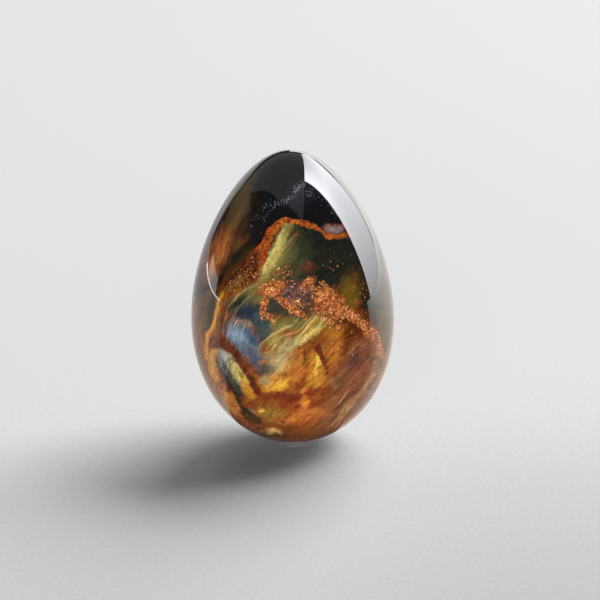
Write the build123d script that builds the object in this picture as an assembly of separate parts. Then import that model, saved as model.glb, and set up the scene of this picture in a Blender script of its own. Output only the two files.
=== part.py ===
from build123d import *
import os
from math import cos, pi, sin, sqrt

# A polished stone egg that stands blunt end down on a low clear ring.
# Millimetres, +Z up. The egg's axis is Z and the ring's flat underside is at Z = 0.

# The egg's overall size.
EGG_HEIGHT = 66.6
EGG_DIAMETER = 45.0

# How the egg's outline differs from an ellipse.
# The first value moves the fullest level towards the blunt end.
# The second is below zero, which draws both ends in a little.
BLUNT_END_SHIFT = 0.175
END_FULLNESS = -0.042

# How many spans the outline curve has, and how finely it is measured.
OUTLINE_SPANS = 16
OUTLINE_STEPS = 4000

# The ring: a flat underside, short upright sides and a half-round crown.
RING_MEAN_DIAMETER = 8.0
RING_WIDTH = 1.6
RING_SIDE_HEIGHT = 0.1

# The air left between the egg and the crown, so that the egg turns freely.
SEAT_CLEARANCE = 0.05

ring_mean_radius = RING_MEAN_DIAMETER / 2
crown_radius = RING_WIDTH / 2
ring_inner_radius = ring_mean_radius - crown_radius
ring_outer_radius = ring_mean_radius + crown_radius
ring_height = RING_SIDE_HEIGHT + crown_radius


def swell(turn):
    """The outline's half width at an angle from the pointed end, before it is scaled."""
    level = cos(turn)
    return sin(turn) * (1 - BLUNT_END_SHIFT * level + END_FULLNESS * level**2)


def turns(count):
    """Evenly spaced angles from the pointed end to the blunt end."""
    return [pi * step / count for step in range(count + 1)]


widest = max(swell(turn) for turn in turns(OUTLINE_STEPS))


def outline(turn):
    """Distance from the axis, and height above the blunt end."""
    reach = EGG_DIAMETER / 2 * swell(turn) / widest
    height = EGG_HEIGHT / 2 * (1 + cos(turn))
    return reach, height


def seat_height():
    """How high the blunt end hangs when the egg is lowered on to the crown."""
    touch = crown_radius + SEAT_CLEARANCE
    levels = []
    for turn in turns(OUTLINE_STEPS):
        reach, height = outline(turn)
        offset = reach - ring_mean_radius
        if abs(offset) < touch:
            levels.append(RING_SIDE_HEIGHT + sqrt(touch**2 - offset**2) - height)
    return max(levels)


egg_base = seat_height()

# The egg is one turned solid: half of its outline, revolved about the axis.
egg_points = []
for turn in turns(OUTLINE_SPANS):
    reach, height = outline(turn)
    egg_points.append((reach, egg_base + height))
egg_points[0] = (0, egg_base + EGG_HEIGHT)
egg_points[-1] = (0, egg_base)

with BuildPart() as stone_egg:
    with BuildSketch(Plane.XZ):
        with BuildLine():
            Spline(egg_points, tangents=[(1, 0), (-1, 0)], tangent_scalars=[1, 1])
            Line(egg_points[-1], egg_points[0])
        make_face()
    revolve(axis=Axis.Z)

# The ring's section, revolved about the same axis.
with BuildPart() as stand_ring:
    with BuildSketch(Plane.XZ):
        with BuildLine():
            Polyline(
                (ring_inner_radius, RING_SIDE_HEIGHT),
                (ring_inner_radius, 0),
                (ring_outer_radius, 0),
                (ring_outer_radius, RING_SIDE_HEIGHT),
            )
            ThreePointArc(
                (ring_outer_radius, RING_SIDE_HEIGHT),
                (ring_mean_radius, ring_height),
                (ring_inner_radius, RING_SIDE_HEIGHT),
            )
        make_face()
    revolve(axis=Axis.Z)

os.makedirs("parts", exist_ok=True)
export_step(stone_egg.part, "parts/stone_egg.step")
export_step(stand_ring.part, "parts/stand_ring.step")

print("egg base above the floor", round(egg_base, 4))
print("overall height", round(egg_base + EGG_HEIGHT, 3))
print("egg volume", round(stone_egg.part.volume, 1), "ring volume", round(stand_ring.part.volume, 2))
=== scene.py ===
# %% [markdown]
# # A polished stone egg on its ring
#
# This lesson dresses a measured model in Blender. The model has two pieces: an egg turned
# from one lump of natural stone, and a low clear ring that keeps it from rolling. The
# shapes come from the measured model. What is left to make here is the look: a glossy
# stone full of dark glass, rust, gold, steel blue and copper flecks, on a pale table.
#
# Lengths are in metres. Places and sizes inside the stone's shader are in millimetres, and so
# are values whose names say it.

# %% Load the measured model
from math import cos, pi, radians, sin, tan

import bpy
from mathutils import Matrix, Vector


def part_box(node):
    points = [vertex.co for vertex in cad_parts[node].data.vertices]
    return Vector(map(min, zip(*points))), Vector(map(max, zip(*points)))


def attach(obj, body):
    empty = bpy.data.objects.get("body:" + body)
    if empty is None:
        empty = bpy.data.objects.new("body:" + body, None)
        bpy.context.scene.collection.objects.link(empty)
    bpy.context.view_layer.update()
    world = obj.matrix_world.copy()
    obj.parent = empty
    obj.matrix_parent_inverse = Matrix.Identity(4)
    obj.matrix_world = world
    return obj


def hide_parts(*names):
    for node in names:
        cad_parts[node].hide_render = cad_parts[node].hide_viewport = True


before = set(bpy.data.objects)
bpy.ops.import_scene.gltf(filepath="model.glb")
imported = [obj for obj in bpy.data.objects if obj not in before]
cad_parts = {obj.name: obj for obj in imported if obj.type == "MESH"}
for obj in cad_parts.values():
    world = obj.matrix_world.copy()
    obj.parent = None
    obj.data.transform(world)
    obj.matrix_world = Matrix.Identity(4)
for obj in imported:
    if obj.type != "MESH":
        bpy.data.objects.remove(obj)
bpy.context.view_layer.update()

# %% [markdown]
# ## The camera
#
# The photograph looks slightly down on the egg through a long lens, so its sides hardly
# converge. Two facts place the camera: how high it stands, and where the middle of the egg
# falls in the picture. The egg leans a little in the picture, and a small roll of the
# camera shows that without tilting the egg.

# %% Camera
PHOTO_PIXELS = 600
MM_PER_PIXEL = 0.2213
EGG_MIDDLE_PIXEL = (292.3, 295.8)
CAMERA_RISE = radians(18.0)
CAMERA_ROLL = radians(0.97)
LENS_MM = 300.0
SENSOR_MM = 36.0
MM = 0.001

egg_low, egg_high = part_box("stone_egg")
egg_middle = Vector((0, 0, (egg_low.z + egg_high.z) / 2))

look = Vector((0, cos(CAMERA_RISE), -sin(CAMERA_RISE)))
level = Vector((1, 0, 0))
upright = level.cross(look)
right = level * cos(CAMERA_ROLL) - upright * sin(CAMERA_ROLL)
up = upright * cos(CAMERA_ROLL) + level * sin(CAMERA_ROLL)

pixel = MM_PER_PIXEL * MM
aim = egg_middle
aim = aim + right * (PHOTO_PIXELS / 2 - EGG_MIDDLE_PIXEL[0]) * pixel
aim = aim - up * (PHOTO_PIXELS / 2 - EGG_MIDDLE_PIXEL[1]) * pixel
distance = PHOTO_PIXELS * pixel * LENS_MM / SENSOR_MM

camera_data = bpy.data.cameras.new("camera")
camera_data.lens = LENS_MM
camera_data.sensor_width = SENSOR_MM
camera_data.clip_start = 0.05
camera_data.clip_end = 50
camera = bpy.data.objects.new("camera", camera_data)
bpy.context.collection.objects.link(camera)
turn = Matrix((right, up, -look)).transposed().to_4x4()
camera.matrix_world = Matrix.Translation(aim - look * distance) @ turn
bpy.context.scene.camera = camera
bpy.context.scene.view_settings.view_transform = "Standard"
print("camera stands", round(distance, 3), "m away")

# %% [markdown]
# ## Writing shaders as sums
#
# A material is a graph of nodes, and a long one is hard to read when each node takes three
# lines. The two small classes here let a shader be written as arithmetic. A Wire is one
# value on its way through the graph: adding two wires adds a Math node. A Sketch is the
# graph itself, and its add method makes any other node.

# %% Shader helpers
class Wire:
    """One output socket, with arithmetic that adds Math nodes."""

    def __init__(self, sketch, socket):
        self.sketch = sketch
        self.socket = socket

    def math(self, operation, *values):
        return self.sketch.add("ShaderNodeMath", {"operation": operation}, dict(enumerate(values)))

    def __add__(self, other):
        return self.math("ADD", self, other)

    def __radd__(self, other):
        return self.math("ADD", other, self)

    def __sub__(self, other):
        return self.math("SUBTRACT", self, other)

    def __rsub__(self, other):
        return self.math("SUBTRACT", other, self)

    def __mul__(self, other):
        return self.math("MULTIPLY", self, other)

    def __rmul__(self, other):
        return self.math("MULTIPLY", other, self)

    def __truediv__(self, other):
        return self.math("DIVIDE", self, other)

    def __rtruediv__(self, other):
        return self.math("DIVIDE", other, self)

    def __pow__(self, other):
        return self.math("POWER", self, other)

    def __rpow__(self, other):
        return self.math("POWER", other, self)

    def at_least(self, other):
        return self.math("MAXIMUM", self, other)


class Sketch:
    """A node graph. Its add method makes a node, sets it up and joins its sockets."""

    def __init__(self, tree):
        self.tree = tree
        self.tree.nodes.clear()

    def add(self, kind, settings=None, sockets=None, out=0):
        node = self.tree.nodes.new(kind)
        for name, value in (settings or {}).items():
            if name == "stops":
                self.set_stops(node.color_ramp, value)
            elif name == "points":
                self.set_points(node.mapping, value)
            else:
                setattr(node, name, value)
        for name, value in (sockets or {}).items():
            if isinstance(value, Wire):
                self.tree.links.new(value.socket, node.inputs[name])
            else:
                node.inputs[name].default_value = value
        if len(node.outputs) == 0:
            return node
        return Wire(self, node.outputs[out])

    def set_stops(self, ramp, stops):
        while len(ramp.elements) < len(stops):
            ramp.elements.new(0.5)
        for element, (place, colour) in zip(ramp.elements, stops):
            element.position = place
            element.color = colour

    def set_points(self, mapping, points):
        line = mapping.curves[0]
        while len(line.points) < len(points):
            line.points.new(0.5, 0.5)
        for point, place in zip(line.points, points):
            point.location = place
        mapping.update()

    def blend(self, under, over, amount):
        return self.add("ShaderNodeMix", {"data_type": "RGBA"}, {0: amount, 6: under, 7: over}, 2)

    def ramp(self, value, low, high, start, end):
        """From start, where the value is low, straight to end, where it is high."""
        sockets = {"Value": value, "From Min": low, "From Max": high, "To Min": start, "To Max": end}
        return self.add("ShaderNodeMapRange", None, sockets)

    def step(self, value, low, high):
        """From 0, where the value is low, softly to 1, where it is high."""
        sockets = {"Value": value, "From Min": low, "From Max": high}
        return self.add("ShaderNodeMapRange", {"interpolation_type": "SMOOTHSTEP"}, sockets)


def paint(red, green, blue):
    """A colour as a screen shows it, 0 to 255, turned into the linear values shaders use."""
    channels = []
    for value in (red, green, blue):
        share = value / 255
        channels.append(share / 12.92 if share <= 0.04045 else ((share + 0.055) / 1.055) ** 2.4)
    return (*channels, 1)


def new_material(name):
    """A new material, and the empty sketch of its graph."""
    material = bpy.data.materials.new(name)
    material.use_nodes = True
    return material, Sketch(material.node_tree)


print("shader helpers ready")

# %% [markdown]
# ## The table
#
# The egg stands on a plain pale sheet. One large square is enough for it, because no edge of
# the sheet is in view. Its paper is almost even: a painted light fall-off makes it a little
# darker towards us and to the right, and a fine grain shows on the nearer part. The table
# won't see the egg's colour, as told further down, and so it won't see the egg keep the
# room's faint light off either. An oval of painted shadow, darker paper close under the egg,
# makes up for that. The sheet is hidden from reflections, and a card stands in for it.

# %% Table
TABLE_HALF = 3.0
table_mesh = bpy.data.meshes.new("table")
corners = [(-TABLE_HALF, -TABLE_HALF, 0), (TABLE_HALF, -TABLE_HALF, 0)]
corners += [(TABLE_HALF, TABLE_HALF, 0), (-TABLE_HALF, TABLE_HALF, 0)]
table_mesh.from_pydata(corners, [], [(0, 1, 2, 3)])
table = bpy.data.objects.new("table", table_mesh)
bpy.context.collection.objects.link(table)
table.visible_glossy = False
print("table", 2 * TABLE_HALF, "m wide")

# %% Table paper and painted shade
FRONT_PALE, MIDDLE_PALE = 0.77, 0.91
LEAST_PALE, MOST_PALE = 0.70, 0.93
PALER_LEFT = 0.40
PALER_FRONT = 0.35
DULLER_RIGHT = 0.06
COOLER = 1.008
FOOT_SHADE = 0.40
FOOT_WAY = (0.45, 0.89)
FOOT_FORWARD = 12 * MM
FOOT_HALF_LONG, FOOT_HALF_WIDE = 23 * MM, 11 * MM
GRAIN_SIZE = 1.1 * MM
GRAIN_DEPTH = 0.2
MATT = {"Roughness": 1.0, "Specular IOR Level": 0.0}
table_material, sketch = new_material("table_paper_and_painted_shade")
place = sketch.add("ShaderNodeTexCoord", None, None, "Object")
sideways = sketch.add("ShaderNodeSeparateXYZ", None, {0: place}, "X")
backwards = sketch.add("ShaderNodeSeparateXYZ", None, {0: place}, "Y")
# Painted light fall-off: the paper's colour is made darker towards us and to the right, and duller in the
# front right quarter.
pale = sketch.step(backwards, -0.14, 0.03) * (MIDDLE_PALE - FRONT_PALE) + FRONT_PALE
pale = pale - sideways * PALER_LEFT - backwards * PALER_FRONT
pale = pale - sketch.step(sideways, -0.02, 0.05) * sketch.step(backwards, 0.03, -0.05) * DULLER_RIGHT
pale = sketch.add("ShaderNodeClamp", None, {"Value": pale, "Min": LEAST_PALE, "Max": MOST_PALE})
# Painted shadow: an oval of darker paper under the egg, stretched forward to the left along the cast shadow.
foot_along = (sideways * FOOT_WAY[0] + backwards * FOOT_WAY[1] + FOOT_FORWARD) / FOOT_HALF_LONG
foot_across = (sideways * FOOT_WAY[1] - backwards * FOOT_WAY[0]) / FOOT_HALF_WIDE
foot_away = (foot_along * foot_along + foot_across * foot_across) ** 0.5
pale = pale * (1 - sketch.step(foot_away, 1.3, 0.2) * FOOT_SHADE)
sockets = {"Vector": place, "Scale": 1 / GRAIN_SIZE, "Detail": 3.0, "Roughness": 0.6}
paper_grain = sketch.add("ShaderNodeTexNoise", None, sockets) - 0.5
pale = pale * (paper_grain * sketch.step(backwards, 0.12, -0.02) * GRAIN_DEPTH + 1)
paper_and_painted_shade = sketch.add("ShaderNodeCombineXYZ", None, {0: pale, 1: pale, 2: pale * COOLER})
surface = sketch.add("ShaderNodeBsdfPrincipled", None, {**MATT, "Base Color": paper_and_painted_shade})
sketch.add("ShaderNodeOutputMaterial", None, {"Surface": surface})
table_mesh.materials.append(table_material)
print("paper from", LEAST_PALE, "to", MOST_PALE)

# %% [markdown]
# ## The lamps
#
# One large soft lamp stands behind the egg on the right, high up, and throws the shadow
# forward to the left. A second one, low and wide, stands in front and fills the side that
# we look at. Its beam is held in, so that it doesn't wash the shadow out. Lamps show in a
# polished stone as bright rectangles. These two are hidden from reflections, and cards draw
# what the stone shows.

# %% Lamps
def direction(around, rise):
    """Unit vector: degrees round from +X towards +Y, and degrees above the table."""
    a, b = radians(around), radians(rise)
    return Vector((cos(a) * cos(b), sin(a) * cos(b), sin(b)))


def add_lamp(name, place, target, width, height, power, spread=180):
    """A soft rectangular lamp, aimed at a target, that reflections don't see."""
    data = bpy.data.lights.new(name, "AREA")
    data.shape = "RECTANGLE"
    data.size = width
    data.size_y = height
    data.energy = power
    data.spread = radians(spread)
    lamp = bpy.data.objects.new(name, data)
    lamp.location = place
    lamp.rotation_mode = "QUATERNION"
    lamp.rotation_quaternion = (target - place).to_track_quat("-Z", "Y")
    lamp.visible_glossy = False
    bpy.context.collection.objects.link(lamp)


KEY_AROUND = 47.5
KEY_RISE = 42.0
KEY_AWAY = 1.3
KEY_WIDE, KEY_TALL = 1.30, 0.87
KEY_WATTS = 21.0
key_place = direction(KEY_AROUND, KEY_RISE) * KEY_AWAY
add_lamp("key", key_place, Vector((0, 0, 0)), KEY_WIDE, KEY_TALL, KEY_WATTS)

FILL_PLACE = Vector((-0.15, -1.2, 0.11))
FILL_WIDE, FILL_TALL = 1.2, 0.14
FILL_WATTS = 2.3
FILL_SPREAD = 60
add_lamp("front_fill", FILL_PLACE, egg_middle, FILL_WIDE, FILL_TALL, FILL_WATTS, FILL_SPREAD)
print("lamps give", KEY_WATTS, "and", FILL_WATTS, "watts")

# %% [markdown]
# ## The background
#
# Behind the sheet everything is pale. A world that bright would light the egg from all
# sides and flatten it. So only the camera sees a pale world, straight or through the clear
# ring, and the egg and the table see one that is nearly dark. Reflections don't see the pale
# one either: the stone's black cap mirrors a dark room, and cards draw what is bright in it.

# %% World
WORLD_LIGHT = 0.07
world = bpy.data.worlds.new("studio")
world.use_nodes = True
bpy.context.scene.world = world
sketch = Sketch(world.node_tree)
straight = sketch.add("ShaderNodeLightPath", None, None, "Is Camera Ray")
through = sketch.add("ShaderNodeLightPath", None, None, "Is Transmission Ray")
seen = straight.at_least(through)
dark = sketch.add("ShaderNodeBackground", None, {"Color": (1, 1, 1, 1), "Strength": WORLD_LIGHT})
pale = sketch.add("ShaderNodeBackground", None, {"Color": (0.82, 0.82, 0.83, 1), "Strength": 1.0})
shown = sketch.add("ShaderNodeMixShader", None, {0: seen, 1: dark, 2: pale})
sketch.add("ShaderNodeOutputWorld", None, {"Surface": shown})
print("world light", WORLD_LIGHT)

# %% [markdown]
# ## What the stone reflects
#
# A mirror-bright stone shows its whole studio, so its reflections matter as much as its
# light. Real lamps could draw them, but then each change to a reflection would change the
# light too. Cards that only reflections can see, and that aren't sampled as lamps, keep the
# two apart. One on the right draws the long white strip on the shoulder, and a gap between
# it and the far card draws the thin dark line along the strip. One overhead draws the faint
# veil at the top, and two small ones on the left draw a pale panel with a bright line under
# it. A card on the table ends in front of the egg, which keeps the face deep and dark.

# %% A card
def even_tint(red, green, blue):
    """The same tint all over the card."""
    return lambda sketch, x, y, z: (red, green, blue)


def add_card(name, outline, glow, tint=even_tint(1, 1, 1)):
    """A flat card that only reflections see. Glow and tint are functions of the place on it."""
    mesh = bpy.data.meshes.new(name)
    mesh.from_pydata(outline, [], [tuple(range(len(outline)))])
    card = bpy.data.objects.new(name, mesh)
    bpy.context.collection.objects.link(card)
    card.visible_camera = False
    card.visible_diffuse = False
    card.visible_transmission = False
    card.visible_shadow = False
    material, sketch = new_material(name)
    place = sketch.add("ShaderNodeTexCoord", None, None, "Object")
    x, y, z = (sketch.add("ShaderNodeSeparateXYZ", None, {0: place}, axis) for axis in "XYZ")
    level = glow(sketch, x, y, z)
    shades = [level * share for share in tint(sketch, x, y, z)]
    if any(isinstance(shade, Wire) for shade in shades):
        colour = sketch.add("ShaderNodeCombineXYZ", None, dict(enumerate(shades)))
    else:
        colour = (*shades, 1)
    sockets = {**MATT, "Base Color": (0, 0, 0, 1), "Emission Color": colour, "Emission Strength": 1.0}
    lit = sketch.add("ShaderNodeBsdfPrincipled", None, sockets)
    sketch.add("ShaderNodeOutputMaterial", None, {"Surface": lit})
    material.cycles.emission_sampling = "NONE"
    mesh.materials.append(material)


print("cards can be made")

# %% Hang the cards
def side_glow(sketch, x, y, z):
    """Brighter the higher it is, and dimmer the farther behind the egg."""
    rising = sketch.ramp(z, 0, 0.45, 4.4, 19.6)
    return rising / (y.at_least(0) / 0.55 + 1)


def floor_glow(sketch, x, y, z):
    """Brighter to the right. On the right its front edge is soft."""
    from_edge = (y - x * 0.17 + 0.004) / (x.at_least(0.005) * 0.3 + 0.003)
    soft = sketch.step(from_edge, -1.3, 0.5)
    soft = soft.at_least(sketch.step(x, 0.020, 0.008))
    return sketch.ramp(x, 0.0, 0.42, 0.72, 3.4) * soft


def floor_tint(sketch, x, y, z):
    """Warm close to the egg, where the stone's colour falls on the sheet."""
    near = sketch.step((x * x + y * y) ** 0.5, 0.15, 0.04)
    return 1, 1 - near * 0.06, 1 - near * 0.18


def top_glow(sketch, x, y, z):
    """Fades out far to the left."""
    return sketch.ramp(x, -5.0, -1.3, 0.0, 0.45)


def top_tint(sketch, x, y, z):
    """Warmer to the left."""
    left = sketch.step(x, -1.3, -2.2)
    return 1, 1 - left * 0.2, 1 - left * 0.6


def far_glow(sketch, x, y, z):
    """Brighter to the right and higher up."""
    return sketch.ramp(x, 0.1, 0.5, 0.9, 1.9) + z * 7


def even_glow(strength):
    """The same strength all over the card."""
    return lambda sketch, x, y, z: strength


CARD_AWAY = 0.5
side_outline = [(0.18, 0.0), (1.22, 0.0), (1.36, 0.4), (1.38, 0.6), (1.5, 0.76), (2.1, 1.0), (4.4, 1.45)]
side_outline += [(4.4, 2.4), (-0.30, 2.33)]
side_outline = [(CARD_AWAY, y * CARD_AWAY, z * CARD_AWAY) for y, z in side_outline]
add_card("side_card", side_outline, side_glow, even_tint(0.99, 0.99, 1.03))

FLOOR_LIFT = 0.0006
floor_outline = [(-1.5, -0.05), (-0.040, -0.012), (-0.026, -0.004), (-0.012, 0.008), (0.0, 0.012)]
floor_outline += [(0.012, -0.003), (0.020, -0.010), (0.066, -0.006), (0.49, 0.03), (0.49, 1.2), (-1.5, 1.2)]
add_card("floor_card", [(x, y, FLOOR_LIFT) for x, y in floor_outline], floor_glow, floor_tint)

CEILING = 1.0
top_outline = [(-5.0, 1.6), (-2.4, 0.3), (-1.43, -0.05), (-1.41, 0.5), (-0.87, -0.03), (-0.36, -0.51)]
top_outline += [(0.4, -0.9), (0.4, 1.8), (-1.6, 1.8), (-5.0, 5.5)]
add_card("top_card", [(x, y, CEILING) for x, y in top_outline], top_glow, top_tint)

BACK_AWAY = 0.9
back_outline = [(-0.68, 0), (0, 0), (0, 0.16), (-0.2, 0.24), (-0.41, 0.32), (-0.62, 0.40), (-0.73, 0.35)]
add_card("back_card", [(x, BACK_AWAY, z) for x, z in back_outline], even_glow(0.95))
far_outline = [(0, 0), (0.72, 0), (0.69, 0.12), (0.64, 0.22), (0.58, 0.29), (0.51, 0.345), (0.35, 0.335)]
far_outline += [(0.25, 0.36), (0, 0.36)]
add_card("far_card", [(x, BACK_AWAY, z) for x, z in far_outline], far_glow)

panel_outline = [(-0.67, 0.436, 0.012), (-0.79, 0.14, 0.012), (-0.79, 0.14, 0.085), (-0.67, 0.436, 0.085)]
add_card("left_panel", panel_outline, even_glow(2.1), even_tint(1.0, 0.92, 0.86))
line_outline = [(-0.62, 0.54, 0.003), (-0.81, 0.03, 0.003), (-0.81, 0.03, 0.010), (-0.62, 0.54, 0.010)]
add_card("left_line", line_outline, even_glow(9.0))
print("cards hung", CARD_AWAY, "m to the side and", BACK_AWAY, "m behind")

# %% [markdown]
# ## The egg's shape
#
# A turned egg is a solid of revolution, so a lathe mesh is the natural way: one outline,
# repeated round the axis. The outline is the same formula that the measured model uses, so
# the two agree. A polished surface shows every facet in its reflections, and a fine, even
# grid of faces keeps them smooth. Bright stone would throw its orange on the table, which
# stays grey in the photograph, so the table doesn't see the egg's colour.

# %% Lathe the egg
EGG_HEIGHT = 66.6 * MM
EGG_DIAMETER = 45.0 * MM
BLUNT_END_SHIFT = 0.175
END_FULLNESS = -0.042
ROWS = 240
COLUMNS = 360


def swell(angle):
    """How far out the outline lies, at an angle from the sharp end, before it is scaled."""
    share_up = cos(angle)
    return sin(angle) * (1 - BLUNT_END_SHIFT * share_up + END_FULLNESS * share_up**2)


widest = max(swell(pi * i / 2000) for i in range(2001))
vertices = [(0, 0, egg_low.z + EGG_HEIGHT)]
for i in range(1, ROWS):
    angle = pi * i / ROWS
    reach = EGG_DIAMETER / 2 * swell(angle) / widest
    up_there = egg_low.z + EGG_HEIGHT / 2 * (1 + cos(angle))
    for j in range(COLUMNS):
        way = 2 * pi * j / COLUMNS
        vertices.append((reach * cos(way), reach * sin(way), up_there))
vertices.append((0, 0, egg_low.z))

faces = []
last = len(vertices) - 1
for j in range(COLUMNS):
    k = (j + 1) % COLUMNS
    faces.append((0, 1 + j, 1 + k))
    for i in range(ROWS - 2):
        above = 1 + i * COLUMNS
        below = above + COLUMNS
        faces.append((above + j, below + j, below + k, above + k))
    tail = 1 + (ROWS - 2) * COLUMNS
    faces.append((tail + j, last, tail + k))

egg_mesh = bpy.data.meshes.new("polished_egg")
egg_mesh.from_pydata(vertices, [], faces)
egg_mesh.shade_smooth()
egg = bpy.data.objects.new("polished_egg", egg_mesh)
bpy.context.collection.objects.link(egg)
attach(egg, "egg")
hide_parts("stone_egg")
egg.visible_diffuse = False
print("egg mesh", len(vertices), "points", len(faces), "faces")

# %% [markdown]
# ## The stone: where things are
#
# The stone is painted in nodes, with no picture file. Two sets of coordinates are needed.
# The first is the egg's own space in millimetres, which carries grain through the whole
# lump. The second is the face that the camera sees: how far a point lies across from the
# axis, how far up the picture, and how far back. A turn about the level axis, by as much as
# the camera looks down, gives all three. Both belong to the egg, so the stone turns with it.

# %% Stone coordinates
stone_material, sketch = new_material("picture_stone")
place = sketch.add("ShaderNodeTexCoord", None, None, "Object")
lump = sketch.add("ShaderNodeVectorMath", {"operation": "SCALE"}, {0: place, "Scale": 1 / MM})
facing = {"Vector": lump, "Angle": CAMERA_RISE}
seen_place = sketch.add("ShaderNodeVectorRotate", {"rotation_type": "X_AXIS"}, facing)
across = sketch.add("ShaderNodeSeparateXYZ", None, {0: seen_place}, "X")
behind = sketch.add("ShaderNodeSeparateXYZ", None, {0: seen_place}, "Y")
rise = sketch.add("ShaderNodeSeparateXYZ", None, {0: seen_place}, "Z")
height = sketch.add("ShaderNodeSeparateXYZ", None, {0: lump}, "Z")
print("stone coordinates in millimetres, face turned by", round(CAMERA_RISE, 3), "radians")

# %% [markdown]
# ## Fibres, grain and bends
#
# Polished stone of this kind is full of silky fibres. A noise that is squeezed in one
# direction makes them. They run steeply on the left of the face and slant at its middle,
# so two sets are made and a soft mask chooses between them. A finer, rounder noise gives
# grain. Two slow noises bend the face before anything is placed on it, because real stone
# has no clean edges.

# %% Fibres and grain
def noise(vector, size_mm, detail=3.0, rough=0.55):
    """Noise about 0.5, whose largest shapes are about size_mm across."""
    sockets = {"Vector": vector, "Scale": 1 / size_mm, "Detail": detail, "Roughness": rough}
    return sketch.add("ShaderNodeTexNoise", {"noise_dimensions": "3D"}, sockets)


def moved(vector, offset):
    """The same space from another corner, so that a noise made in it looks different."""
    return sketch.add("ShaderNodeVectorMath", {"operation": "ADD"}, {0: vector, 1: offset})


def squeezed(vector, sizes_mm):
    """Space in which one unit is sizes_mm long, which stretches a noise made in it."""
    scale = tuple(1 / size for size in sizes_mm)
    return sketch.add("ShaderNodeVectorMath", {"operation": "MULTIPLY"}, {0: vector, 1: scale})


def wandering(vector, size_mm, reach_mm):
    """Space pushed about by a noise, so that straight things made in it turn wavy."""
    sockets = {"Vector": vector, "Scale": 1 / size_mm, "Detail": 2.0}
    push = sketch.add("ShaderNodeTexNoise", {"noise_dimensions": "3D"}, sockets, "Color")
    push = sketch.add("ShaderNodeVectorMath", {"operation": "SUBTRACT"}, {0: push, 1: (0.5, 0.5, 0.5)})
    sockets = {0: push, 1: (reach_mm, reach_mm, reach_mm), 2: vector}
    return sketch.add("ShaderNodeVectorMath", {"operation": "MULTIPLY_ADD"}, sockets)


silky_place = wandering(seen_place, 16.0, 5.0)


def leaning(degrees):
    """The silky face, turned so that its first axis leans by degrees from level."""
    sockets = {"Vector": silky_place, "Angle": radians(degrees)}
    return sketch.add("ShaderNodeVectorRotate", {"rotation_type": "Y_AXIS"}, sockets)


def between(first, second, share):
    """What lies between two values, by a share from 0 to 1."""
    return first + (second - first) * share


slow_a = noise(lump, 7.0, 2.0) - 0.5
slow_b = noise(moved(lump, (31, 17, 5)), 7.0, 2.0) - 0.5
fray_a = noise(moved(lump, (3, 71, 9)), 1.7, 4.0, 0.68) - 0.5
fray_b = noise(moved(lump, (53, 7, 41)), 1.7, 4.0, 0.68) - 0.5
grain = noise(moved(lump, (8, 8, 80)), 0.55, 2.0, 0.6)

STEEP, SLANT = 73.0, 43.0
steep_space, slant_space = leaning(STEEP), leaning(SLANT)
steeply = sketch.step(across + slow_a * 10, -5, -9)
hair = between(
    noise(squeezed(slant_space, (7.0, 3.0, 0.32)), 1.0, 3.0, 0.6),
    noise(squeezed(steep_space, (7.0, 3.0, 0.30)), 1.0, 3.0, 0.6),
    steeply,
)
silk = between(
    noise(moved(squeezed(slant_space, (13.0, 5.0, 1.6)), (5, 2, 9)), 1.0, 4.0, 0.6),
    noise(moved(squeezed(steep_space, (13.0, 5.0, 1.4)), (5, 2, 9)), 1.0, 4.0, 0.6),
    steeply,
)
calm = sketch.step(noise(moved(lump, (19, 19, 2)), 8.0, 2.0), 0.62, 0.40)
hair = (hair - 0.5) * between(0.35, 1.0, calm) + 0.5
fibre = sketch.step(hair, 0.16, 0.84)
streak = sketch.step(silk, 0.30, 0.70)
clump = noise(moved(lump, (2, 44, 17)), 2.4, 5.0, 0.7) - 0.5
edge = (hair - 0.5) * 0.45 + clump * 1.3
smooth_across, smooth_rise = across + slow_a * 2.2, rise + slow_b * 2.2
bent_across, bent_rise = smooth_across + fray_a * 1.8, smooth_rise + fray_b * 1.8
face = sketch.add("ShaderNodeCombineXYZ", None, {0: bent_across, 1: bent_rise, 2: edge * 0.01})
print("fibres ready")

# %% [markdown]
# ## Colours
#
# Each colour of the stone is a pair: the fibres swing between the two, so no patch is ever
# flat. They are written as a screen shows them. A pair is mixed where it is used and not
# once for all, because a long shader has little room for values that wait.

# %% Colours of the stone
INK = ((16, 15, 20), (11, 11, 14))
SOOT = ((38, 28, 18), (24, 18, 12))
BARK = ((96, 60, 34), (60, 40, 24))
CHESTNUT = ((112, 57, 24), (78, 40, 18))
OXBLOOD = ((130, 52, 26), (84, 34, 17))
RUST = ((160, 82, 26), (114, 56, 19))
SADDLE = ((114, 54, 13), (64, 31, 10))
HONEY = ((206, 136, 46), (166, 98, 36))
BRICK = ((154, 72, 30), (110, 50, 21))
EMBER = ((198, 90, 34), (140, 60, 22))
ORANGE = ((206, 106, 38), (162, 78, 27))
AMBER = ((214, 148, 48), (178, 106, 34))
STRAW = ((204, 168, 82), (150, 112, 48))
CREAM = ((200, 176, 120), (150, 126, 80))
OLIVE = ((134, 120, 60), (90, 84, 42))
MOSS = ((72, 74, 45), (48, 51, 35))
PINE = ((27, 32, 26), (17, 21, 19))
NAVY = ((48, 60, 72), (30, 38, 46))
STEEL = ((100, 124, 142), (60, 78, 94))
ASH = ((140, 144, 140), (98, 104, 106))
MAUVE = ((152, 92, 60), (114, 66, 42))
PLUM = ((98, 76, 76), (64, 52, 54))
TAN = ((188, 114, 48), (156, 87, 36))


def over(under, colour, amount):
    """Paint a colour over what is there. The fibres swing between the two of a pair."""
    if isinstance(colour[0], tuple):
        bright, deep = colour
        colour = sketch.blend(paint(*deep), paint(*bright), fibre)
    else:
        colour = paint(*colour)
    return sketch.blend(under, colour, amount)


def ground(colour):
    """A whole coat of one colour, to start on."""
    return over(paint(0, 0, 0), colour, 1.0)


print("palette mixed")

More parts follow.
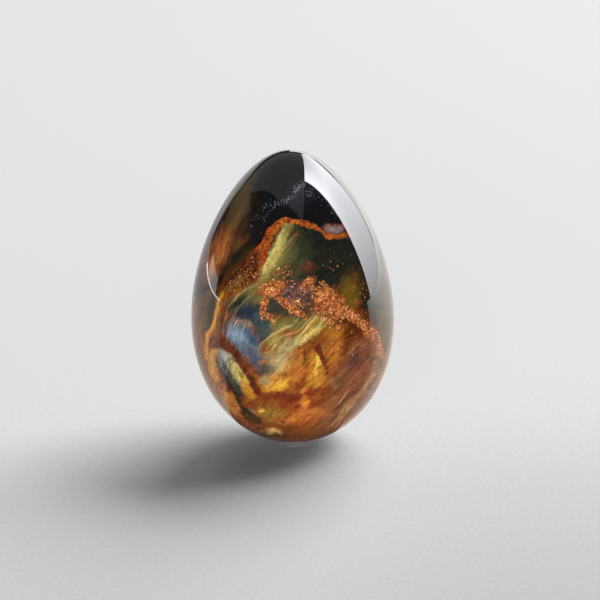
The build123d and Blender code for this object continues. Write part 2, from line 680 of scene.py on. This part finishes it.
# %% [markdown]
# ## The stone all round
#
# The picture shows one face. The rest of the lump has to be the same stone, so it is grown
# from noise with the same order of layers: brick and gold low down, with blue lenses and
# pale straw, then olive, then dark green, then an orange vein under a black cap. The layers
# follow the height, bent by slow noise so that they wander as they go round.

# %% Stone all round
def inside(value, low, high, softness):
    """Mask of a value that lies between two limits."""
    lower = sketch.step(value, low - softness, low + softness)
    upper = sketch.step(value, high + softness, high - softness)
    return lower * upper


wander = noise(moved(lump, (11, 4, 60)), 24.0, 3.0, 0.5) - 0.5
pools = noise(moved(squeezed(slant_space, (2.2, 1.2, 1.0)), (9, 31, 2)), 6.5, 3.0, 0.5)
lenses = noise(moved(squeezed(steep_space, (1.9, 1.2, 1.0)), (44, 3, 21)), 6.0, 2.0, 0.5)
tilt = across * 0.22 + behind * 0.16
layer = height + tilt + wander * 44 + slow_a * 5 + fray_a * 2.0

round_stone = over(ground(BRICK), RUST, streak)
round_stone = over(round_stone, MAUVE, sketch.step(lenses, 0.42, 0.36))
round_stone = over(round_stone, AMBER, sketch.step(pools + edge * 0.1, 0.56, 0.62))
round_stone = over(round_stone, CHESTNUT, inside(pools + edge * 0.08, 0.535, 0.57, 0.02) * 0.7)
round_stone = over(round_stone, STRAW, inside(layer + edge * 4, 18, 24, 1) * streak)
blue = sketch.step(lenses + edge * 0.12, 0.56, 0.66) * inside(layer, 12, 27, 2.5)
round_stone = over(round_stone, STEEL, blue * 0.9)
rim_of_blue = inside(lenses + edge * 0.12, 0.53, 0.575, 0.02) * inside(layer, 12, 27, 2.5)
round_stone = over(round_stone, OXBLOOD, rim_of_blue * 0.8)
round_stone = over(round_stone, OLIVE, sketch.step(layer + edge * 5, 25, 28) * between(0.5, 1.0, streak))
round_stone = over(round_stone, PINE, sketch.step(layer + edge * 6, 30.5, 34.5))
round_stone = over(round_stone, BARK, sketch.step(pools, 0.54, 0.60) * sketch.step(layer, 31, 34))
round_stone = over(round_stone, STRAW, inside(layer + edge, 42.6, 43.6, 0.4) * streak)
round_stone = over(round_stone, RUST, inside(layer + edge * 1.2, 43.9, 45.4, 0.3))
round_stone = over(round_stone, ORANGE, inside(layer + edge * 1.2, 44.5, 45.4, 0.3) * streak)
round_stone = over(round_stone, INK, sketch.step(layer + edge * 0.6, 45.2, 45.7))
brown_cap = sketch.step(layer, 46, 48) * sketch.step(silk, 0.52, 0.66)
round_stone = over(round_stone, SOOT, brown_cap)
round_flecks = inside(layer + edge * 3, 27.5, 31.0, 1.5) * sketch.step(pools, 0.44, 0.58) * 0.6
print("round stone grown")

# %% [markdown]
# ## Brushes for the face
#
# The face needs features in known places. A photograph laid over it would give them, but it
# would smear round the sides, so they are drawn. Three brushes are enough. A spot is a soft
# oval, given by its middle, its half length and half width, and how far it leans. A band is
# what lies between two drawn lines, for veins and for the edge of the dark cap. A
# thread is a thin band along one line. Fibres fray the rim of all three. Places are in
# millimetres: across from the axis, and up the picture.

# %% Brushes
def spot(x, h, half_long, half_wide, lean, softness):
    """Mask of a soft oval on the face, leaning by degrees from level."""
    sockets = {"Vector": face, "Center": (x, h, 0), "Angle": radians(-lean)}
    straight = sketch.add("ShaderNodeVectorRotate", {"rotation_type": "Z_AXIS"}, sockets)
    oval = {0: straight, 1: (1 / half_long, 1 / half_wide, 0), 2: (-x / half_long, -h / half_wide, 0)}
    local = sketch.add("ShaderNodeVectorMath", {"operation": "MULTIPLY_ADD"}, oval)
    reach = sketch.add("ShaderNodeVectorMath", {"operation": "LENGTH"}, {0: local}, "Value")
    return sketch.step(reach + edge, 1 + softness, 1 - softness)


def line(along, points):
    """A drawn line: its height at each value along it."""
    starts = [point[0] for point in points]
    levels = [point[1] for point in points]
    low, high = min(starts), max(starts)
    floor, roof = min(levels), max(levels)
    drawn = [((x - low) / (high - low), (y - floor) / (roof - floor)) for x, y in points]
    sockets = {"Value": along, "From Min": low, "From Max": high}
    share = sketch.add("ShaderNodeMapRange", None, sockets)
    drawn_line = sketch.add("ShaderNodeFloatCurve", {"points": drawn}, {"Value": share})
    return drawn_line * (roof - floor) + floor


def band(along, level, low_line, high_line, softness):
    """Mask of what lies between two drawn lines."""
    low = sketch.step(level + edge * 0.5 - line(along, low_line), -softness, softness)
    high = sketch.step(line(along, high_line) - level + edge * 0.5, -softness, softness)
    return low * high


def thread(under, points, half_thick, colour, amount):
    """Paint a thin line through some points, which are given from left to right."""
    low_line = [(x, h - half_thick) for x, h in points]
    high_line = [(x, h + half_thick) for x, h in points]
    mask = band(smooth_across, smooth_rise, low_line, high_line, 0.15)
    ends = inside(smooth_across, points[0][0], points[-1][0], 0.5)
    return over(under, colour, mask * ends * amount)


def lay(under, spots):
    """Paint a list of spots, one over the other."""
    for name, x, h, half_long, half_wide, lean, softness, colour in spots:
        under = over(under, colour, spot(x, h, half_long, half_wide, lean, softness))
        under.socket.node.label = name
    return under


def thickness(beds):
    """How thick flecks lie, as the most of several beds."""
    most = None
    for name, x, h, half_long, half_wide, lean, softness, amount in beds:
        bed = spot(x, h, half_long, half_wide, lean, softness) * amount
        bed.socket.node.label = name
        most = bed if most is None else most.at_least(bed)
    return most


print("brushes ready")

# %% [markdown]
# ## The face, from the foot up
#
# The lower half is warm: brick red at the foot, purple brown streaks that follow the right
# side, and a tan heart with a golden leaf. Soft spots that lie over each other draw this,
# the largest first, as a painter would lay it in.

# %% Warm lower half
stone = over(ground(CHESTNUT), RUST, streak)
stone = lay(stone, [
    ("brick foot", -1.0, 8.5, 12.0, 5.5, 0, 0.35, BRICK),
    ("purple brown side", 11.0, 7.0, 9.5, 3.8, 50, 0.45, MAUVE),
    ("dark streak", 12.2, 11.0, 5.0, 0.6, 52, 0.6, (104, 54, 42)),
    ("pale streak", 13.6, 9.5, 7.0, 0.6, 55, 0.7, (186, 138, 94)),
    ("low pale streak", 11.2, 7.2, 6.0, 0.45, 50, 0.7, (172, 120, 82)),
    ("rim streak", 16.4, 13.5, 5.0, 0.5, 62, 0.7, (184, 132, 102)),
    ("rust shoulder", 12.5, 22.0, 8.0, 6.5, 40, 0.5, ((122, 56, 12), (84, 37, 9))),
    ("purple shoulder", 14.0, 17.0, 6.5, 3.6, 54, 0.5, MAUVE),
    ("dark dip", 13.0, 17.6, 2.6, 1.4, 40, 0.8, (96, 58, 50)),
    ("burnt corner", 12.0, 26.0, 4.6, 2.8, -30, 0.6, (86, 36, 8)),
    ("ochre", 8.6, 24.4, 2.4, 1.2, 20, 0.8, (160, 94, 22)),
    ("orange slope", 8.2, 20.0, 3.4, 2.0, 70, 0.7, (198, 116, 44)),
    ("brown pocket", 9.6, 13.0, 2.6, 1.5, 30, 0.7, (112, 70, 42)),
    ("grey pebble", 7.7, 13.8, 1.3, 0.8, -40, 0.9, (136, 98, 60)),
    ("tan heart", -0.2, 16.6, 4.8, 3.2, 60, 0.6, TAN),
    ("shade round the leaf", 5.2, 17.6, 5.2, 2.6, 86, 0.6, (140, 72, 30)),
    ("golden leaf", 4.9, 15.8, 5.0, 1.9, 82, 0.45, HONEY),
    ("leaf light", 5.5, 17.2, 2.6, 0.5, 80, 0.8, (228, 182, 76)),
    ("gold root", -3.9, 13.3, 3.0, 1.8, 15, 0.5, AMBER),
    ("gold light", -2.8, 13.1, 1.6, 0.9, 20, 0.9, (222, 164, 60)),
    ("pale root", -6.2, 13.8, 1.0, 0.8, 0, 0.9, (150, 136, 92)),
])
stone = lay(stone, [
    ("red line", -2.0, 10.2, 4.4, 0.8, -8, 0.7, (112, 42, 24)),
    ("red line right", 4.6, 11.2, 3.0, 0.8, 20, 0.7, (124, 50, 28)),
    ("orange drop", 2.3, 8.5, 1.6, 0.9, 74, 0.6, (216, 132, 50)),
    ("orange crumb", 2.3, 11.5, 0.9, 0.5, 40, 0.6, (202, 112, 54)),
    ("ochre pool", -5.0, 6.2, 2.9, 1.8, -20, 0.6, (146, 108, 42)),
    ("yellow grain", -7.2, 7.4, 0.6, 0.55, 0, 0.5, (226, 184, 66)),
    ("grey grain", -9.2, 7.0, 0.9, 0.4, -40, 0.9, (142, 114, 88)),
    ("dark gap", -8.6, 5.6, 1.8, 0.5, -40, 0.7, (66, 52, 30)),
    ("orange foot", 1.6, 5.6, 5.0, 1.2, 5, 0.8, (190, 104, 46)),
    ("brown foot", 0.6, 1.4, 8.0, 1.7, 4, 0.6, (122, 64, 20)),
    ("dark foot line", -4.4, 1.6, 3.0, 0.4, -10, 0.8, (70, 44, 18)),
    ("pale foot grain", -4.7, 2.5, 1.5, 0.5, -8, 0.8, (222, 176, 98)),
])
print("lower half painted")

# %% [markdown]
# ## The left flank
#
# Here the stone has slipped: thin layers of rust, ash, straw and black lie side by side and
# lean steeply. Above them is a lens of steel blue in a dark blue field, with a red vein
# along its lower edge and a golden line down the rim.

# %% Left flank
stone = lay(stone, [
    ("pale rim", -17.4, 18.6, 4.6, 1.2, 92, 0.5, (200, 138, 64)),
    ("brown west rim", -18.4, 31.0, 5.5, 2.0, 84, 0.6, (92, 60, 30)),
    ("dark west band", -17.8, 28.4, 5.2, 0.9, 76, 0.5, (54, 41, 23)),
    ("red corner", -17.2, 22.4, 2.2, 1.4, 40, 0.4, OXBLOOD),
    ("rust layer", -14.8, 13.0, 4.6, 0.9, -64, 0.4, OXBLOOD),
    ("black layer", -14.6, 14.6, 5.6, 0.9, -64, 0.4, (44, 40, 30)),
    ("ash layer", -14.9, 17.2, 3.0, 1.0, -68, 0.6, ASH),
    ("ash light", -14.3, 18.0, 3.0, 0.8, -70, 0.8, (186, 186, 172)),
    ("slate layer", -13.2, 14.0, 4.2, 0.8, -64, 0.5, (64, 66, 56)),
    ("dark seam", -11.5, 14.6, 5.2, 1.7, -60, 0.3, (52, 44, 30)),
    ("straw layer", -11.8, 15.4, 4.2, 1.4, -60, 0.5, ((208, 194, 140), (152, 140, 96))),
    ("yellow core", -11.2, 14.4, 2.8, 0.7, -60, 0.9, (200, 164, 62)),
    ("gold end", -9.8, 11.7, 2.1, 1.3, -60, 0.5, AMBER),
    ("orange layer", -13.8, 8.6, 3.8, 1.0, -58, 0.5, (190, 118, 54)),
    ("black foot", -11.4, 8.0, 4.0, 0.6, -56, 0.5, (50, 42, 25)),
    ("night field", -9.0, 28.6, 5.0, 3.2, -25, 0.4, NAVY),
    ("dark east", -6.6, 24.8, 2.4, 2.0, 60, 0.6, (58, 66, 66)),
    ("blue lens", -10.6, 22.4, 5.2, 2.5, -52, 0.5, STEEL),
    ("blue light", -12.4, 23.8, 2.0, 1.2, -40, 0.9, (128, 148, 164)),
    ("blue shade", -8.6, 18.6, 2.4, 1.2, -55, 0.7, (58, 76, 96)),
    ("deep blue", -8.6, 22.6, 2.6, 0.8, -50, 0.9, (56, 76, 100)),
    ("brown wisp", -10.4, 26.3, 1.8, 0.7, -15, 0.8, (132, 108, 92)),
    ("olive cloud", -10.0, 32.6, 3.9, 1.3, 32, 0.8, OLIVE),
    ("dark cloud", -12.0, 31.0, 2.6, 0.8, 40, 0.7, (38, 38, 30)),
])
swept_line = [(-15, 26.6), (-13.8, 29.7), (-12, 32.3), (-9.8, 33.9), (-7.5, 35.1)]
stone = thread(stone, swept_line, 0.3, (150, 138, 82), 0.6)
stone = thread(stone, [(x + 1.1, h - 1.3) for x, h in swept_line[:4]], 0.22, (126, 128, 106), 0.4)
vein_line = [(-18, 22.6), (-16, 21.8), (-14.5, 21.2), (-12.8, 19.8), (-11.2, 17.2), (-9.8, 14.6)]
vein_line += [(-8.4, 12.4), (-7, 10.7)]
for half_thick, colour, amount in [(1.3, (56, 34, 22), 0.6), (0.9, ((116, 44, 24), (62, 25, 14)), 0.95)]:
    vein_low = [(x, h - half_thick) for x, h in vein_line]
    vein_high = [(x, h + half_thick) for x, h in vein_line]
    red_vein = band(bent_across, bent_rise, vein_low, vein_high, 0.4) * amount
    stone = over(stone, colour, red_vein * inside(bent_across, -17.4, -7.4, 0.4))

rim_line = [(12, -17.0), (14, -17.6), (17, -18.5), (20, -18.9), (23, -18.7), (26, -17.7)]
rim_line += [(30, -16.2), (34, -14.9)]
rim_left = [(h, x - 0.35) for h, x in rim_line]
rim_right = [(h, x + 0.45) for h, x in rim_line]
gold_rim = band(smooth_rise, smooth_across, rim_left, rim_right, 0.3)
stone = over(stone, AMBER, gold_rim * inside(bent_rise, 14, 33, 0.8))
print("left flank painted")

# %% [markdown]
# ## The pale heart and the dark field
#
# Pale straw and cream fibres sweep up through the middle of the face, round a thin curl, and
# a dark red hook hangs over the golden leaf. Above them is a dark field, almost black on
# the right, that clears to olive and straw on its left edge.

# %% Heart and dark field
stone = lay(stone, [
    ("olive sweep", -0.8, 26.4, 6.0, 1.7, 10, 0.5, OLIVE),
    ("olive by the blue", -4.4, 22.0, 3.2, 1.5, 40, 0.7, (142, 126, 62)),
    ("teal shade", -6.6, 26.4, 2.8, 1.5, -62, 0.6, (62, 74, 76)),
    ("straw plume", 3.8, 25.0, 4.4, 1.4, 38, 0.8, STRAW),
    ("straw light", 3.0, 23.4, 4.4, 0.5, 37, 0.8, (218, 188, 104)),
    ("cream plume", -0.6, 21.6, 2.8, 1.2, 38, 0.8, CREAM),
    ("cream root", -3.4, 17.8, 3.0, 1.9, 45, 0.8, CREAM),
    ("red spot", 0.3, 24.0, 1.3, 0.7, 30, 0.9, (152, 86, 44)),
    ("red curl", -6.2, 20.7, 1.2, 0.8, 45, 0.9, (134, 70, 42)),
    ("red seed", -6.6, 17.9, 0.6, 0.4, 10, 0.9, (172, 80, 54)),
    ("grey root", -5.9, 16.2, 1.8, 1.0, 20, 0.7, (70, 72, 62)),
    ("east field", 16.0, 42.0, 6.0, 5.0, -60, 0.3, PINE),
    ("dark field", 5.0, 39.0, 12.0, 7.2, 0, 0.2, ((36, 36, 27), (24, 25, 20))),
    ("field roof", 4.4, 46.4, 7.0, 2.4, -10, 0.4, PINE),
    ("moss", -0.4, 39.8, 4.8, 3.2, 60, 0.8, MOSS),
    ("olive edge", -3.0, 40.4, 5.8, 2.2, 62, 0.8, OLIVE),
    ("straw edge", -3.6, 41.6, 5.6, 1.0, 62, 0.9, (186, 170, 94)),
    ("straw line", -3.9, 42.4, 5.4, 0.4, 62, 0.8, (222, 206, 124)),
    ("brown east rim", 17.5, 33.5, 7.0, 4.0, 100, 0.3, (40, 29, 17)),
    ("olive east rim", 20.2, 27.5, 7.5, 1.7, 88, 0.7, (86, 72, 34)),
    ("ochre glow", 12.4, 32.0, 4.0, 1.9, 80, 0.8, (102, 74, 18)),
    ("night under flecks", -1.4, 30.6, 6.4, 3.0, -6, 0.5, (56, 52, 43)),
    ("olive crumb", -6.8, 31.8, 2.0, 1.0, 20, 0.8, (112, 100, 54)),
    ("plum cloud", 0.6, 32.6, 3.6, 2.2, 10, 0.7, PLUM),
    ("copper haze", 3.7, 34.7, 1.6, 1.0, 10, 0.7, (150, 76, 48)),
    ("red haze", 3.6, 38.2, 1.8, 1.0, 10, 0.8, (92, 54, 36)),
    ("copper bed", 8.4, 30.4, 3.8, 2.3, -36, 0.4, (146, 72, 42)),
    ("left bed", -4.6, 33.8, 3.0, 1.6, 10, 0.5, (142, 82, 40)),
])
curl = [(-8.0, 19.2), (-7.1, 21.6), (-5.1, 23.4), (-2.8, 24.7), (0.0, 26.0)]
stone = thread(stone, curl, 0.25, (184, 170, 112), 0.55)
stone = thread(stone, [(x + 1.2, h - 1.2) for x, h in curl[1:]], 0.2, (200, 176, 104), 0.4)
hook_low = [(1.5, 16.4), (2.4, 18), (3.1, 19.9), (4, 20.6), (5, 19.9), (5.9, 18.3), (6.9, 16), (8, 13.4)]
hook_high = [(1.5, 17.6), (1.9, 20.2), (2.7, 21.9), (3.8, 22.7), (5.2, 22.1), (6.4, 20.5), (7.4, 18), (8, 16)]
hook = band(bent_across, bent_rise, hook_low, hook_high, 0.3) * inside(bent_across, 1.8, 7.4, 0.3)
stone = over(stone, ((136, 58, 28), (80, 33, 17)), hook)
print("heart painted")

# %% [markdown]
# ## The dark cap and the orange arch
#
# The top of the egg is almost black. An orange vein arches along its lower edge, with a
# straw line inside it, and a small grey lens sits in the vein on the right. Rust grains
# run down from the arch to the left rim.

# %% Cap and arch
cap_line = [(-24, 32), (-16.2, 34.6), (-14, 37), (-11, 40), (-8, 42), (-6.6, 43.2), (-5.8, 45)]
cap_line += [(-4.9, 46.9), (-3.8, 47.8), (-2.4, 48.5), (-0.7, 49), (1.5, 48.4), (4.2, 47.9)]
cap_line += [(6, 47), (7.7, 45.8), (9.9, 45.2), (12, 45.5), (24, 43)]
cap = sketch.step(bent_rise - line(bent_across, cap_line), -0.3, 0.3)
stone = over(stone, INK, cap)
stone = lay(stone, [
    ("brown flank", -13.5, 46.5, 12.0, 4.6, 64, 0.6, SOOT),
    ("brown smoke", -13.6, 45.4, 6.0, 2.4, 66, 0.9, ((104, 66, 36), (62, 40, 22))),
    ("rust smoke", -16.2, 42.0, 5.2, 1.8, 66, 0.9, ((200, 112, 56), (138, 74, 36))),
    ("high smoke", -11.3, 50.4, 1.8, 0.6, 66, 0.9, (116, 72, 42)),
    ("amber smoke", -11.4, 43.6, 2.2, 0.9, 40, 0.9, (104, 64, 32)),
    ("olive smoke", -11.0, 53.2, 5.0, 1.5, 62, 0.9, (76, 60, 34)),
    ("black gap", -11.6, 39.6, 5.4, 1.0, 48, 0.5, (40, 31, 13)),
    ("rust slope", -10.6, 37.6, 6.4, 2.0, 40, 0.5, SADDLE),
    ("dark slope", -9.0, 36.2, 2.6, 0.9, 25, 0.6, (84, 38, 20)),
    ("dark crack", -9.2, 38.9, 3.2, 0.45, 46, 0.6, (46, 27, 16)),
    ("west crack", -12.4, 37.0, 2.6, 0.4, 44, 0.6, (54, 31, 18)),
    ("moss slope", -12.2, 35.2, 2.2, 0.6, 42, 0.7, (112, 86, 36)),
    ("east crack", -7.8, 38.4, 1.8, 0.5, 60, 0.6, (58, 28, 17)),
    # Painted reflection: a lighter blue-grey spot where the overhead veil shows in the cap.
    ("painted grey veil reflection", 2.8, 54.8, 4.2, 2.6, 25, 0.8, (32, 32, 42)),
])
arch_low = [(-7.2, 37.6), (-5.7, 40), (-4.9, 42.6), (-4.1, 44.8), (-2.6, 46.7), (-0.7, 47.7)]
arch_low += [(1.5, 47.4), (3.8, 47.1), (5.5, 46.4), (6.6, 45.7), (7.7, 44.7), (9.9, 44.3), (13, 44.8)]
arch_high = [(x, h + 0.1) for x, h in cap_line]
arch = band(bent_across, bent_rise, arch_low, arch_high, 0.22)
arch = arch * inside(bent_across, -7.0, 11.6, 0.6)
stone = over(stone, EMBER, arch)
stone = over(stone, ORANGE, arch * sketch.step(bent_across, -5.2, -3.0))
stone = over(stone, (92, 42, 16), arch * sketch.step(bent_across, 0, 3.5) * 0.3)
grit = noise(moved(lump, (61, 5, 13)), 0.7, 3.0, 0.7)
rubble = spot(-6.0, 42.0, 4.6, 1.8, 66, 0.5).at_least(spot(-8.8, 38.4, 6.4, 2.2, 46, 0.5)).at_least(arch)
rubble = rubble * sketch.step(bent_across, 12, 10)
stone = over(stone, (58, 26, 14), rubble * sketch.step(grit, 0.52, 0.60) * 0.75)
stone = over(stone, (206, 98, 40), rubble * sketch.step(grit, 0.42, 0.34) * 0.55)
stone = lay(stone, [
    ("lens rim", 9.4, 46.6, 2.2, 1.1, -4, 0.4, (118, 58, 38)),
    ("grey lens", 9.4, 46.6, 1.6, 0.7, -4, 0.8, (132, 118, 118)),
])
print("cap painted,", len(stone_material.node_tree.nodes), "nodes so far")

# %% [markdown]
# ## Joining the face to the lump
#
# The face is drawn flat, so towards its rim it is stretched over the side of the egg. The
# stone that was grown all round takes over just before that shows. Clouds of gold and of
# dark red then drift over the lower half of both, and pale hairs show where fibres reach the
# surface, so that nothing looks painted on.

# %% Join and clouds
RIM_LEAN = tan(CAMERA_RISE) * (EGG_DIAMETER / EGG_HEIGHT) ** 2
depth = sketch.add("ShaderNodeSeparateXYZ", None, {0: lump}, "Y")
past_rim = depth - (height - egg_middle.z / MM) * RIM_LEAN
front = sketch.step(past_rim + slow_b * 4, -0.5, -5.0)
stone = sketch.blend(round_stone, stone, front)
cloud_space = squeezed(slant_space, (1.6, 1.2, 1.0))
gold_cloud = noise(moved(cloud_space, (27, 3, 55)), 2.4, 5.0, 0.68)
dark_cloud = noise(moved(cloud_space, (4, 91, 12)), 2.0, 5.0, 0.68)
low_down = sketch.step(bent_rise, 26, 20)
gilding = sketch.step(gold_cloud, 0.54, 0.70) * low_down * sketch.step(bent_rise, 2, 6) * 0.5
stone = over(stone, AMBER, gilding)
shadow = sketch.step(dark_cloud, 0.53, 0.66) * low_down * 0.6
stone = over(stone, (70, 34, 18), shadow)
hair_beds = front * thickness([
    ("heart hairs", 0.0, 23.0, 6.8, 2.8, 40, 0.6, 0.6),
    ("blue hairs", -12.6, 25.4, 3.2, 2.2, 50, 0.6, 0.6),
    ("side hairs", 13.0, 10.5, 8.0, 2.8, 52, 0.6, 0.5),
    ("wedge hairs", -2.6, 41.0, 5.0, 2.2, 62, 0.6, 0.5),
])
pale_hair = sketch.step(hair, 0.56, 0.66)
stone = over(stone, (222, 198, 128), pale_hair * hair_beds)
print("clouds and hairs drawn")

# %% [markdown]
# ## Copper flecks
#
# Bright flecks of copper lie in beds across the middle, and frosty white ones in the cap.
# Cells of a Voronoi texture make good crystals: each cell has one random colour, so one
# channel can say whether the cell is a fleck and another how bright it is. For copper that
# brightness is partly the flecks' own colour and partly painted glint: the palest crystals
# stand for flakes that catch the light. How thick the flecks lie is painted with the same
# brush as the face.

# %% Flecks
rugged = wandering(lump, 0.6, 0.7)


def crystals(size_mm, offset):
    """Random presence and random shade, each the same over one crystal."""
    sockets = {"Vector": moved(rugged, offset), "Scale": 1 / size_mm, "Randomness": 1.0}
    settings = {"feature": "F1", "voronoi_dimensions": "3D"}
    cell = sketch.add("ShaderNodeTexVoronoi", settings, sockets, "Color")
    presence = sketch.add("ShaderNodeSeparateColor", None, {0: cell}, "Red")
    shade = sketch.add("ShaderNodeSeparateColor", None, {0: cell}, "Green")
    return presence, shade


copper_beds = thickness([
    ("left bed", -4.4, 33.8, 2.6, 1.5, 12, 0.5, 0.95),
    ("above it", -2.0, 37.0, 2.4, 1.8, 10, 0.6, 0.24),
    ("left leg", -6.2, 30.0, 2.4, 0.7, 84, 0.5, 0.9),
    ("left foot", -5.0, 27.6, 1.6, 0.6, -35, 0.5, 0.95),
    ("bright line", -0.8, 30.0, 4.1, 0.7, -33, 0.5, 1.2),
    ("middle dust", 1.8, 32.6, 4.4, 2.6, 0, 0.6, 0.16),
    ("middle crumbs", 0.8, 30.8, 1.8, 0.8, -20, 0.6, 0.5),
    ("copper haze", 3.7, 34.7, 1.6, 1.0, 10, 0.6, 0.6),
    ("right bed", 8.2, 30.6, 3.6, 1.9, -38, 0.45, 1.0),
    ("right crest", 8.6, 32.6, 2.6, 0.7, -48, 0.5, 0.9),
    ("right root", 10.8, 29.0, 2.6, 1.2, -30, 0.5, 0.95),
    ("tail", 13.4, 27.4, 4.0, 1.0, -38, 0.5, 0.85),
    ("rim tail", 16.6, 24.2, 3.4, 0.9, -58, 0.5, 0.8),
    ("rim end", 19.0, 20.6, 2.8, 0.8, -76, 0.5, 0.8),
    ("lower dust", 8.0, 27.4, 3.6, 1.5, -40, 0.6, 0.5),
    ("field dust", 6.0, 38.5, 10.0, 5.0, 0, 0.5, 0.02),
    ("east dust", 15.0, 31.0, 2.6, 4.0, 0, 0.5, 0.05),
    ("south dust", 12.0, 22.5, 6.0, 4.0, 0, 0.5, 0.04),
    ("slope dust", -9.0, 37.5, 6.0, 2.0, 38, 0.5, 0.10),
])
frost_beds = thickness([
    ("low frost", -5.8, 50.6, 3.2, 1.0, 50, 0.7, 0.10),
    ("bridge frost", -1.6, 53.2, 3.0, 0.7, 20, 0.7, 0.24),
    ("high frost", 1.6, 55.4, 2.4, 0.8, 45, 0.7, 0.34),
    ("east frost", 3.6, 54.6, 2.0, 1.2, -35, 0.7, 0.12),
    ("far frost", 8.4, 52.0, 3.6, 1.6, -50, 0.7, 0.06),
])
print("beds painted")

# %% Lay the flecks
FINE_FLECK, COARSE_FLECK = 0.19, 0.31
FROST_GRAIN = 0.2
copper_thick = between(round_flecks, copper_beds, front)
frost_thick = frost_beds * front

# From dark copper to pale peach: the copper's own colour, with painted glints at the pale end.
copper_and_glint_stops = [
    (0.0, paint(72, 30, 13)),
    (0.35, paint(146, 73, 33)),
    (0.72, paint(204, 116, 60)),
    (0.94, paint(232, 158, 100)),
    (1.0, paint(248, 200, 150)),
]
for size_mm, offset in [(FINE_FLECK, (40, 6, 9)), (COARSE_FLECK, (0, 0, 0))]:
    presence, shade = crystals(size_mm, offset)
    fleck = sketch.step(copper_thick * 0.8 - presence, 0.0, 0.02)
    copper = sketch.add("ShaderNodeValToRGB", {"stops": copper_and_glint_stops}, {0: shade})
    stone = sketch.blend(stone, copper, fleck)
presence, shade = crystals(FROST_GRAIN, (90, 20, 60))
frost = sketch.step(frost_thick - presence, 0.0, 0.02)
stone = over(stone, (140, 140, 150), frost * between(0.3, 0.9, shade))
print("flecks laid")

# %% [markdown]
# ## Light in the fibres
#
# Fibres catch the light, so each is a little brighter or darker than its neighbour and a
# little warmer or cooler. The last touches multiply the painted colour by fibre and grain,
# and turn the hue slightly with another noise.

# %% Fibre shade
shade_of_fibre = between(0.73, 1.27, fibre)
shade_of_streak = between(0.82, 1.16, streak)
shade_of_grain = between(0.54, 1.46, grain)
hollow = noise(moved(squeezed(slant_space, (3.6, 1.6, 0.8)), (6, 66, 16)), 1.3, 3.0, 0.6)
shade_of_hollow = between(0.66, 1.0, sketch.step(hollow, 0.30, 0.46))
tone = shade_of_fibre * shade_of_streak * shade_of_grain * shade_of_hollow * 1.04
tone_colour = sketch.add("ShaderNodeCombineXYZ", None, {0: tone, 1: tone, 2: tone})
settings = {"data_type": "RGBA", "blend_type": "MULTIPLY"}
stone = sketch.add("ShaderNodeMix", settings, {0: 1.0, 6: stone, 7: tone_colour}, 2)
hue_streak = noise(moved(squeezed(slant_space, (9.0, 3.0, 0.7)), (70, 8, 33)), 1.0, 3.0, 0.6)
turn_of_hue = between(0.488, 0.516, sketch.step(hue_streak, 0.3, 0.7))
sockets = {"Hue": turn_of_hue, "Saturation": 1.0, "Value": 1.0, "Color": stone}
stone = sketch.add("ShaderNodeHueSaturation", None, sockets)
print("fibres lit")

# %% [markdown]
# ## The polish
#
# A polished stone is a coloured body under a mirror-bright skin. A second, clear coat could
# be that skin, but stone has none: its own surface shines. So the Principled shader's own
# reflection does it, with the refraction of quartz and almost no roughness. Handling leaves
# faint dull patches, and a slow noise in the roughness draws those. Hand polishing leaves
# the surface very slightly uneven, which a faint bump shows where a reflection ends.

# %% Polished surface
RIPPLE_DEPTH = 0.03 * MM
MIRROR_ROUGH, SMUDGE_ROUGH = 0.02, 0.05
QUARTZ_IOR = 1.54
smudge = noise(moved(lump, (15, 25, 35)), 11.0, 4.0, 0.6)
polish = sketch.step(smudge, 0.45, 0.75) * SMUDGE_ROUGH + MIRROR_ROUGH
ripple = noise(moved(lump, (41, 12, 7)), 6.0, 0.0)
bump = {"Strength": 0.6, "Distance": RIPPLE_DEPTH, "Height": ripple}
uneven = sketch.add("ShaderNodeBump", None, bump)
sockets = {"Base Color": stone, "Roughness": polish, "Normal": uneven, "IOR": QUARTZ_IOR}
surface = sketch.add("ShaderNodeBsdfPrincipled", None, sockets)
sketch.add("ShaderNodeOutputMaterial", None, {"Surface": surface})
egg_mesh.materials.append(stone_material)
print("stone uses", len(stone_material.node_tree.nodes), "nodes")

# %% [markdown]
# ## The clear ring
#
# The ring is soft clear silicone, moulded in one piece. Its measured shape is already right,
# so it keeps its own mesh and only needs a finish: clear, a little cloudy, and duller than
# glass. A fine bump stands for the skin of the mould.

# %% Clear ring
SILICONE_IOR = 1.41
SKIN_DEPTH = 0.02 * MM
ring_material, sketch = new_material("clear_silicone")
place = sketch.add("ShaderNodeTexCoord", None, None, "Object")
moulding = sketch.add("ShaderNodeVectorMath", {"operation": "SCALE"}, {0: place, "Scale": 1 / MM})
cloud = noise(moulding, 2.0, 2.0)
skin = noise(moulding, 0.4, 2.0)
uneven = sketch.add("ShaderNodeBump", None, {"Strength": 0.3, "Distance": SKIN_DEPTH, "Height": skin})
sockets = {"Base Color": (0.90, 0.91, 0.92, 1), "Roughness": cloud * 0.2 + 0.3, "Normal": uneven}
sockets.update({"IOR": SILICONE_IOR, "Transmission Weight": 0.95, "Specular IOR Level": 0.15})
surface = sketch.add("ShaderNodeBsdfPrincipled", None, sockets)
sketch.add("ShaderNodeOutputMaterial", None, {"Surface": surface})
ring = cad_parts["stand_ring"]
ring.data.materials.clear()
ring.data.materials.append(ring_material)
print("ring finished")
